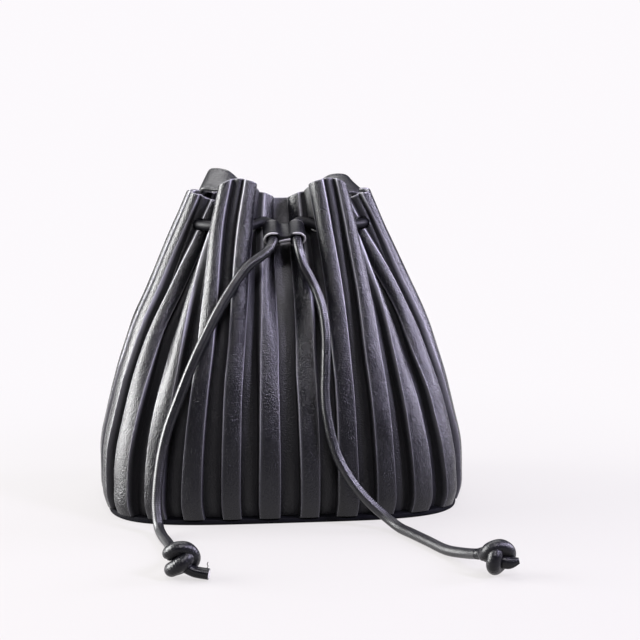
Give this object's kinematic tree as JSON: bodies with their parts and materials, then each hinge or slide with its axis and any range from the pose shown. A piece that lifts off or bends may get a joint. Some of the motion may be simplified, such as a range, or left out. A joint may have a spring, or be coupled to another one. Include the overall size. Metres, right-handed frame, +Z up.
{
  "type": "drawstring shoulder bag",
  "caption": "Pleated leather bucket bag with a gathered mouth, a knotted leather drawstring held by a slider, and one shoulder strap.",
  "frame": {"origin": "middle of the base panel's underside, on the surface that the bag stands on", "axes": "+Z up, -Y towards the front with the slider and the two free cord ends, +Y towards the back where the strap lies, +X to the right seen from the front"},
  "size_m": [0.2125, 0.4397, 0.1923],
  "materials": {
    "pleat_leather": "soft black grained faux leather with a satin sheen",
    "base_leather": "stiff black grained faux leather, matter than the pleats",
    "cord_leather": "smooth round black leather cord with bright highlights",
    "slider_leather": "thick smooth black leather with pale cut edges",
    "strap_leather": "folded black leather with stitched edges"
  },
  "bodies": {
    "root": {"pleated_wall": "pleat_leather", "base_panel": "base_leather", "drawstring_ring": "cord_leather", "drawstring_left": "cord_leather", "drawstring_right": "cord_leather", "knot_left": "cord_leather", "knot_right": "cord_leather", "slider": "slider_leather", "shoulder_strap": "strap_leather"}
  },
  "joints": []
}
